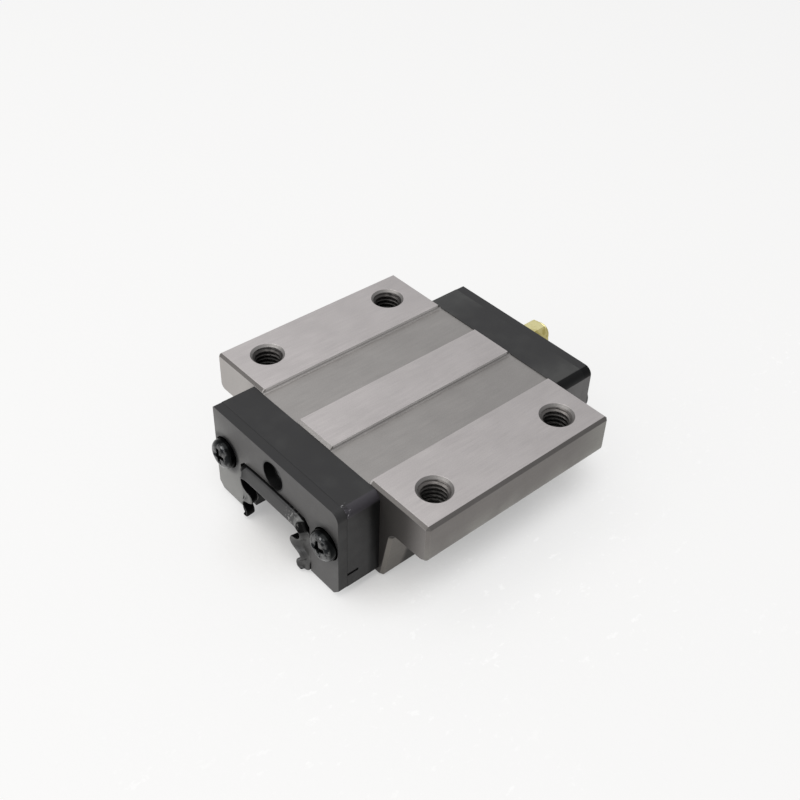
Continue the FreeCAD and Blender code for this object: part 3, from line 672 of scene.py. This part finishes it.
def metalLook(name, colour, pale, rough, scale):
    # plain metal, cloudy, paler where its edges are worn
    look = Look(name, Metallic=1.0)
    cloud = look.noise(scale, 3.0)
    worn = look.step(look.edges(0.12 * mm), 0.05, 0.25)
    amount = look.total(look.step(cloud, 0.4, 0.75, 0.0, 0.4), look.both(worn, 0.7), clamp=True)
    look.bump(look.noise(scale * 14.0, 2.0), 0.1, 0.008 * mm)
    return look.paint(look.blend(amount, colour, pale),
                      look.step(cloud, 0.3, 0.7, rough - 0.04, rough + 0.08))


looks = {
    "steel": casingLook(),
    "resin": resinLook(),
    "plate": plateLook(),
    "rubber": rubberLook(),
    "guide": mouldedLook("guideResin", 0.45, 500.0, rgb(0.40, 0.38, 0.33),
                         rgb(0.50, 0.47, 0.42), 0.015 * mm),
    "screw": screwLook(),
    "thread": threadLook(),
    "port": mouldedLook("portThread", 0.3, 1500.0, rgb(0.010, 0.010, 0.010),
                        rgb(0.045, 0.045, 0.043), 0.01 * mm),
    "brass": brassLook(),
    "ball": metalLook("ballSteel", rgb(0.70, 0.70, 0.71), rgb(0.74, 0.74, 0.75), 0.10, 500.0),
    "wire": metalLook("drawnWire", rgb(0.50, 0.50, 0.51), rgb(0.62, 0.62, 0.62), 0.26, 900.0),
}
print("materials made")

nodeLooks = {"casing": "steel", "grease_nipple": "brass", "nipple_ball": "ball",
             "nipple_spring": "wire", "end_plate": "resin", "seal_plate": "plate",
             "seal_lip": "rubber", "return_guide": "guide", "end_screw": "screw",
             "retaining_wire": "wire"}
for nodeName, cadNode in nodes.items():
    key = next((look for start, look in nodeLooks.items() if nodeName.startswith(start)),
               "ball")
    cadNode.data.materials.clear()
    cadNode.data.materials.append(looks[key])


def shellFaces(grid, ringRows):
    # quads between neighbours of a grid of points, rows closed into rings; each open end gets
    # one face, and all of them are turned over if the enclosed volume comes out negative
    rows, columns = grid.shape[:2]
    row, column = np.meshgrid(np.arange(rows if ringRows else rows - 1),
                              np.arange(columns), indexing="ij")
    down, right = (row + 1) % rows, (column + 1) % columns
    quads = np.stack([row * columns + column, down * columns + column,
                      down * columns + right, row * columns + right], axis=-1).reshape(-1, 4)
    points = grid.reshape(-1, 3) - grid.reshape(-1, 3).mean(axis=0)
    a, b, c, d = (points[quads[:, k]] for k in range(4))
    volume = np.einsum("ij,ij", a, np.cross(b, c)) + np.einsum("ij,ij", a, np.cross(c, d))
    first = np.arange(columns)
    caps = [] if ringRows else [first, (rows - 1) * columns + first[::-1]]
    if volume < 0:
        quads, caps = quads[:, ::-1], [cap[::-1] for cap in caps]
    return quads, caps


def makePiece(name, grids, look, stands=(), crease=38.0):
    # one object on the block from closed grids of points in millimetres
    faces, start = [], 0
    for grid, ringRows in grids:
        quads, caps = shellFaces(grid, ringRows)
        faces += (quads + start).tolist() + [(cap + start).tolist() for cap in caps]
        start += grid.shape[0] * grid.shape[1]
    points = np.concatenate([grid.reshape(-1, 3) for grid, ringRows in grids]) * mm
    mesh = bpy.data.meshes.new(name)
    mesh.from_pydata(points.tolist(), [], faces)
    mesh.polygons.foreach_set("use_smooth", np.ones(len(mesh.polygons), dtype=bool))
    mesh.set_sharp_from_angle(angle=math.radians(crease))
    mesh.materials.append(looks[look])
    piece = bpy.data.objects.new(name, mesh)
    bpy.context.scene.collection.objects.link(piece)
    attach(piece, "block")
    if stands:
        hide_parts(*stands)
    return piece


def roundedLine(corners, times, closed=False):
    # cuts each corner of a line at a quarter of its two runs, several times over
    line = np.asarray(corners, dtype=float)
    for _ in range(times):
        following = np.roll(line, -1, axis=0) if closed else line[1:]
        leading = line if closed else line[:-1]
        cut = np.stack([0.75 * leading + 0.25 * following,
                        0.25 * leading + 0.75 * following], axis=1)
        cut = cut.reshape(-1, line.shape[1])
        line = cut if closed else np.concatenate([line[:1], cut, line[-1:]])
    return line


threadShape = {"perTurn": 14, "crestShare": 0.125, "flankShare": 0.625, "lead": 0.02,
               "sunk": 0.03}
mountThread = {
    "root": 2.52, "crest": 2.067, "pitch": 0.8, "start": 0.41, "end": 7.33, "round": 80,
    "along": 13.0, "across": 20.5,
}
portThread = {
    "root": 2.02, "crest": 1.60, "pitch": 0.7, "start": 0.05, "end": 6.0, "round": 72,
    "faceAt": -25.3, "height": -4.1,
}


def threadRing(spec, mouth, across, up, inwards):
    # radius inside, at angle a and depth d: the root radius less the thread's height times a
    # flat-topped wave of (d / pitch - a / turn), but no less than a cone at each mouth;
    # the outside is a plain cylinder sunk into the wall
    perTurn, turns = threadShape["perTurn"], (spec["end"] - spec["start"]) / spec["pitch"]
    depth = np.linspace(spec["start"], spec["end"], int(turns * perTurn))
    angle = np.linspace(0, 2 * np.pi, spec["round"], endpoint=False)
    d, a = np.meshgrid(depth, angle, indexing="ij")
    wave = 1 - np.abs(2 * ((d / spec["pitch"] - a / (2 * np.pi)) % 1) - 1)
    height = np.clip((wave - threadShape["crestShare"]) / threadShape["flankShare"], 0, 1)
    cone = spec["root"] - threadShape["lead"] - np.minimum(d - spec["start"], spec["end"] - d)
    inside = np.maximum(spec["root"] - (spec["root"] - spec["crest"]) * height, cone)
    outside = np.full((2, spec["round"]), spec["root"] + threadShape["sunk"])
    radius = np.concatenate([inside, outside])
    d = np.concatenate([d, d[-1:], d[:1]])
    a = np.concatenate([a, a[:2]])
    return (np.asarray(mouth) + d[..., None] * np.asarray(inwards)
            + (radius * np.cos(a))[..., None] * np.asarray(across)
            + (radius * np.sin(a))[..., None] * np.asarray(up))


def makeThreads():
    holes = [(x * mountThread["along"], y * mountThread["across"], 0.0)
             for x in (-1, 1) for y in (-1, 1)]
    rings = [threadRing(mountThread, hole, (1, 0, 0), (0, -1, 0), (0, 0, -1)) for hole in holes]
    makePiece("mount_threads", [(ring, True) for ring in rings], "thread")
    mouth = (portThread["faceAt"], 0.0, portThread["height"])
    ring = threadRing(portThread, mouth, (0, 1, 0), (0, 0, 1), (1, 0, 0))
    makePiece("port_thread", [(ring, True)], "port")


makeThreads()
print("threads made")

sealLip = {
    "faceAt": 27.0,
    # half of the wiping edge, and of the line where the rubber meets the plate, as (y, z) from
    # the foot of a leg to the middle of the bar
    "edge": [(7.5, -17.62), (6.7, -17.62), (6.45, -17.0), (6.6, -16.1), (7.5, -15.5), (7.6, -14.7),
             (6.9, -14.2), (5.9, -13.9), (5.1, -13.5), (5.0, -12.6), (5.5, -11.9), (6.9, -11.6),
             (7.5, -11.0), (7.7, -10.1), (7.4, -9.4), (6.3, -9.2), (3.0, -9.2), (0.0, -9.2)],
    "root": [(8.6, -17.58), (8.75, -17.4), (8.8, -17.0), (8.85, -16.1), (8.9, -15.5), (8.9, -14.7),
             (8.9, -14.2), (8.9, -13.9), (8.9, -13.5), (8.9, -12.6), (8.9, -11.9), (8.9, -11.5),
             (8.9, -11.0), (8.85, -9.8), (8.45, -8.4), (7.4, -6.95), (3.0, -6.8), (0.0, -6.8)],
    # section of the rubber: share of the way from root to edge, height over the plate's face
    "section": [(0.00, -1.15), (-0.02, -0.1), (-0.04, 0.02), (-0.03, 0.36), (0.02, 0.56),
                (0.16, 0.68), (0.75, 0.96), (0.95, 1.05), (1.03, 0.95), (1.02, 0.6),
                (0.98, -0.45), (0.88, -0.62), (0.4, -0.9), (0.1, -1.15)],
    "legLevel": 0.07,   # height of the legs away from their edge, against the bar's
    "footLevel": 0.6,
    "barHalf": 7.75,    # the raised bar reaches this far to each side
    "barFade": 0.12,
    "barDown": 9.7,     # and this far down
    "footDown": 15.7,   # the feet are raised again below this
    "legFade": 0.18,
    "rimShare": 0.62,   # the wiping edge stands up from this share of the way
    "rimFade": 0.06,
    "knob": 0.20,       # extra height of the round knob at each shoulder
    "knobLevel": 2.2,   # and how much of the section it fills out
    "knobRadius": 1.2,
    "knobAt": (7.8, -8.5),
}


def rise(value, width):
    # 0 well below zero and 1 well above it: one over (1 plus e to the minus value / width)
    return 1 / (1 + np.exp(-value / width))


def lipGrid(side):
    # root line plus a share of the way to the edge line, and a height over the plate, for every
    # point of the section: the height falls along the legs, and rises in a knob at each shoulder
    half = np.concatenate([sealLip["edge"], sealLip["root"]], axis=1)
    whole = np.concatenate([half, half[-2::-1] * (-1, 1, -1, 1)])
    lines = roundedLine(whole, 3)
    section = roundedLine(sealLip["section"], 2, closed=True)
    edge, root = lines[:, None, :2], lines[:, None, 2:]
    share, height = section[None, :, :1], section[None, :, 1]
    place = root + (edge - root) * share
    drop = lines[:, 3:4]
    bar = rise(sealLip["barHalf"] - np.abs(place[..., 0]), sealLip["barFade"])
    bar = bar * rise(drop + sealLip["barDown"], sealLip["legFade"])
    foot = rise(-(drop + sealLip["footDown"]), sealLip["legFade"])
    rim = rise(share - sealLip["rimShare"], sealLip["rimFade"])
    level = np.maximum(np.maximum(bar, sealLip["footLevel"] * foot),
                       np.maximum(rim[..., 0], sealLip["legLevel"]))
    knobAcross, knobDown = sealLip["knobAt"]
    away = np.hypot(np.abs(place[..., 0]) - knobAcross, place[..., 1] - knobDown)
    knob = sealLip["knob"] * np.exp(-(away / sealLip["knobRadius"]) ** 4)
    raised = height * np.maximum(level, sealLip["knobLevel"] * knob) + knob
    x = sealLip["faceAt"] + np.where(height > 0, raised, height)
    return np.stack([side * x, side * place[..., 0], place[..., 1]], axis=-1)


for endName, side in ends.items():
    makePiece(f"lip_rubber_{endName}", [(lipGrid(side), False)], "rubber",
              stands=[f"seal_lip_{endName}"], crease=50.0)
print("seal lips made")

panScrew = {
    "across": 12.8, "down": -8.3, "seat": 26.2,
    # pan head: radius, height, radius of the flat crown, drop of the rim, bow of the crown
    "head": 2.6, "height": 2.4, "flat": 1.55, "rim": 1.15, "bow": 0.06,
    "skirt": 0.12, "undercut": 0.1, "shank": 1.47, "length": 12.0,
    "taper": 0.35, "taperLength": 0.4, "centre": 0.03, "tipCentre": 0.05,
    # cross recess
    "arm": 1.5, "halfWidth": 0.40, "wall": 0.16, "slope": 0.85, "depth": 1.25,
    "middle": 0.55, "middleWall": 0.12,
    "turn": {"front_left": 8.0, "front_right": 12.0, "rear_left": 35.0, "rear_right": -20.0},
    "round": 144, "crownSteps": 46, "rimSteps": 14,
}


def screwGrid(end, side, turn):
    # a turned profile of radius and height; on the crown the height is less the depth of a cross:
    # the larger of two arms, each with steep sides and sloping ends, and of a small middle dish
    head, flat, shank, length = (panScrew[key] for key in ("head", "flat", "shank", "length"))
    top = np.linspace(panScrew["centre"], flat, panScrew["crownSteps"])
    bow = np.linspace(0, np.pi / 2, panScrew["rimSteps"])[1:]
    radius = np.concatenate([top, flat + (head - flat) * np.sin(bow),
                             [head, head - panScrew["undercut"], shank, shank,
                              shank - panScrew["taper"], panScrew["tipCentre"]]])
    crown = panScrew["height"] - panScrew["bow"] * (top / flat) ** 2
    height = np.concatenate([crown, crown[-1] - panScrew["rim"] * (1 - np.cos(bow)),
                             [panScrew["skirt"], 0.0, 0.0, panScrew["taperLength"] - length,
                              -length, -length]])
    angle = np.linspace(0, 2 * np.pi, panScrew["round"], endpoint=False)
    r, a = np.meshgrid(radius, angle, indexing="ij")
    h = np.repeat(height[:, None], panScrew["round"], axis=1)
    p = np.abs(r * np.cos(a - math.radians(turn)))
    q = np.abs(r * np.sin(a - math.radians(turn)))
    arms = [np.clip((panScrew["halfWidth"] - u) / panScrew["wall"], 0, 1)
            * np.clip((panScrew["arm"] - v) / panScrew["slope"], 0, 1)
            for u, v in ((p, q), (q, p))]
    dish = np.clip((panScrew["middle"] - r) / panScrew["middleWall"], 0, 1)
    cross = np.maximum(np.maximum(arms[0], arms[1]), dish) * panScrew["depth"]
    h = np.where(np.arange(len(radius))[:, None] < len(top), h - cross, h)
    y = side * panScrew["across"] + end * r * np.cos(a)
    return np.stack([end * (panScrew["seat"] + h), y, panScrew["down"] + r * np.sin(a)], axis=-1)


for endName, end in ends.items():
    for sideName, side in sides.items():
        spot = f"{endName}_{sideName}"
        grid = screwGrid(end, side, panScrew["turn"][spot])
        makePiece(f"pan_screw_{spot}", [(grid, False)], "screw",
                  stands=[f"end_screw_{spot}"])
print("screws made")

nipple = {
    "height": -4.1, "flats": 4.5, "hexFrom": 27.5, "hexTo": 31.2,
    # bevel of the hexagon's corners: inset, slope and where the steps lie along it
    "bevel": 0.12, "bevelSlope": 1.73, "bevelSteps": (0.12, 0.24, 0.4),
    "round": 120,
    # outside and bore, as (x, radius): thread, neck, head, then back through the bore
    "before": [(22.0, 1.75), (22.35, 2.0), (26.6, 2.0), (26.75, 1.85), (27.48, 1.85)],
    "after": [(31.24, 1.70), (31.45, 1.70), (31.5, 1.80), (31.62, 1.86), (31.8, 1.80), (32.0, 1.62),
              (32.2, 1.38), (32.38, 1.15), (32.48, 1.05), (32.5, 0.95), (32.5, 0.58),
              (32.42, 0.5), (31.92, 0.5), (31.3, 1.0), (27.4, 1.0), (27.4, 0.58), (22.0, 0.58)],
}


def nippleGrid():
    # radius over angle and length: turned parts are round, and over the hexagon the radius is the
    # smaller of the flats' distance over the cosine to the nearest flat, and a cone at each end
    angle = np.linspace(0, 2 * np.pi, nipple["round"], endpoint=False)
    steps = np.array(nipple["bevelSteps"])
    x = np.concatenate([[nipple["hexFrom"]], nipple["hexFrom"] + steps,
                        nipple["hexTo"] - steps[::-1], [nipple["hexTo"]]])
    flat = nipple["flats"] / 2 / np.cos(angle % (np.pi / 3) - np.pi / 6)
    inset = np.minimum(x - nipple["hexFrom"], nipple["hexTo"] - x)
    cone = nipple["flats"] / 2 - nipple["bevel"] + inset * nipple["bevelSlope"]
    hexagon = np.minimum(flat[None, :], cone[:, None])
    before, after = np.array(nipple["before"]), np.array(nipple["after"])
    spread = np.ones(nipple["round"])
    radius = np.concatenate([before[:, 1:] * spread, hexagon, after[:, 1:] * spread])
    along = np.concatenate([before[:, 0], x, after[:, 0]])[:, None] * spread
    up = nipple["height"] + radius * np.sin(angle)
    return np.stack([along, radius * np.cos(angle), up], axis=-1)


makePiece("hex_nipple", [(nippleGrid(), True)], "brass", stands=["grease_nipple"],
          crease=24.0)
print("nipple made")

coil = {"from": 27.55, "to": 30.3, "radius": 0.64, "wire": 0.13, "turns": 5, "height": -4.1,
        "perTurn": 40, "round": 12, "keep": 0.82}


def coilGrid():
    # a small circle carried along a helix: the helix turns evenly while it moves along X, and
    # the circle lies across it, spanned by the outward direction and X
    steps = coil["turns"] * coil["perTurn"] + 1
    turn = np.linspace(0, 2 * np.pi * coil["turns"], steps)[:, None]
    ring = np.linspace(0, 2 * np.pi, coil["round"], endpoint=False)[None, :]
    radius = coil["radius"] + coil["wire"] * np.cos(ring)
    middle = coil["from"] + (coil["to"] - coil["from"]) * turn / turn[-1]
    x = middle + coil["wire"] * np.sin(ring)
    return np.stack([x, radius * np.cos(turn), coil["height"] + radius * np.sin(turn)], axis=-1)


spring = makePiece("valve_spring", [(coilGrid(), False)], "wire",
                   stands=["nipple_spring"])
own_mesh(spring)
print("spring made")

room = {
    "floorSide": 6.0,
    "floorColour": rgb(0.73, 0.715, 0.69),
    "floorRough": 0.5,
    "white": rgb(0.955, 0.955, 0.955),
    # noise: scale, detail, roughness
    "skin": (700.0, 3.0),
    "flecks": (420.0, 3.0, 0.75),
    "fleckStretch": (1.0, 1.6, 1.0),
    "fleckGroups": 14.0,
    "flecksRight": span(0.0, -30.0),
    "fleckGlow": 0.08,
    "lit": 0.74,          # share of that white in the floor that the camera sees
    # painted shade: less white at the foot of the block and in front of the channel's mouth
    "litFoot": 0.36,      # the same at the foot of the block
    "footX": 19 * mm,
    "footY": 16 * mm,
    "fade": 13 * mm,
    "mouthX": -27 * mm,   # the open channel at the front, where the floor is darker still
    "mouthFade": span(2.0, 13.0),
    "litMouth": 0.4,
    "sky": rgb(0.96, 0.97, 1.0),
    "skyStrength": 0.66,
    "backdrop": rgb(1.0, 1.0, 1.0),
}


def floorLight(look, height):
    # share of plain white in the floor: it fades towards the foot of the block, where the block's
    # shade gathers, and in front of the channel's mouth, as painted shade
    x, y = look.axes()[:2]
    out = [look.most(look.maths("SUBTRACT", look.unsigned(axis), foot), 0.0)
           for axis, foot in ((x, room["footX"]), (y, room["footY"]))]
    flat = look.add("CombineXYZ", {"X": out[0], "Y": out[1]}).outputs[0]
    gap = look.add("VectorMath", {0: flat}, operation="LENGTH").outputs["Value"]
    openness = look.step(gap, 0.0, room["fade"])
    share = look.step(openness, 0.0, 1.0, room["litFoot"], room["lit"])
    mouth = look.away((room["mouthX"], 0.0, height))
    return look.both(share, look.step(mouth, *room["mouthFade"], room["litMouth"], 1.0))


def makeFloor(height):
    # a flat sheet under the object, pale to the eye, with a fine uneven skin and painted glints at
    # faint flecks
    half = room["floorSide"] / 2
    corners = [(-half, -half, height), (half, -half, height), (half, half, height),
               (-half, half, height)]
    mesh = bpy.data.meshes.new("floor")
    mesh.from_pydata(corners, [], [(0, 1, 2, 3)])
    sheet = bpy.data.objects.new("floor", mesh)
    bpy.context.scene.collection.objects.link(sheet)
    look = Look("floorSheet", Roughness=room["floorRough"])
    look.socket("Base Color", room["floorColour"])
    look.bump(look.noise(*room["skin"]), 0.25, 0.2 * mm)
    fleck = look.noise(*room["flecks"], look.stretched(room["fleckStretch"]))
    where = look.both(look.step(look.noise(room["fleckGroups"]), 0.42, 0.62),
                      look.step(look.axes()[1], *room["flecksRight"]))
    # painted glints: the flecks glow
    glint = look.both(look.step(fleck, 0.60, 0.70, 0.0, room["fleckGlow"]), where)
    glow = look.add("Emission", {"Color": room["white"], "Strength": look.total(1.0, glint)})
    path = look.add("LightPath").outputs
    seen = look.most(path["Is Camera Ray"], path["Is Glossy Ray"])
    seen = look.most(seen, path["Is Transmission Ray"])
    share = look.both(seen, floorLight(look, height))
    mixed = look.add("MixShader", {0: share, 1: look.shader.outputs[0], 2: glow.outputs[0]})
    look.put(look.tree.nodes["Material Output"].inputs["Surface"], mixed.outputs[0])
    mesh.materials.append(look.material)


lamps = {
    # place in metres, side of the square in metres, power in watts; each one faces the block
    "overhead": ((-0.16, 0.06, 0.62), 0.6, 2.9),
    "leftFill": ((-0.7, 0.1, 0.35), 0.5, 1.7),
}


def addLight(name, place, side, power):
    data = bpy.data.lights.new(name, "AREA")
    data.shape, data.size, data.size_y = "RECTANGLE", side, side
    data.energy = power
    lamp = bpy.data.objects.new(name, data)
    aim = (-Vector(place)).to_track_quat("-Z", "Y")
    lamp.matrix_world = Matrix.Translation(Vector(place)) @ aim.to_matrix().to_4x4()
    bpy.context.scene.collection.objects.link(lamp)


def makeWorld():
    # a soft even sky, and plain white where the camera looks past the floor
    world = bpy.data.worlds.new("room")
    world.use_nodes = True
    bpy.context.scene.world = world
    tree = world.node_tree
    path = tree.nodes.new("ShaderNodeLightPath")
    sky = tree.nodes["Background"]
    sky.inputs["Color"].default_value = room["sky"]
    sky.inputs["Strength"].default_value = room["skyStrength"]
    white = tree.nodes.new("ShaderNodeBackground")
    white.inputs["Color"].default_value = room["backdrop"]
    white.inputs["Strength"].default_value = 1.0
    mix = tree.nodes.new("ShaderNodeMixShader")
    tree.links.new(path.outputs["Is Camera Ray"], mix.inputs[0])
    tree.links.new(sky.outputs[0], mix.inputs[1])
    tree.links.new(white.outputs[0], mix.inputs[2])
    tree.links.new(mix.outputs[0], tree.nodes["World Output"].inputs["Surface"])


makeFloor(cadBox[0][2])
makeWorld()
for lampName, (place, side, power) in lamps.items():
    addLight(lampName, place, side, power)
print("stage set")
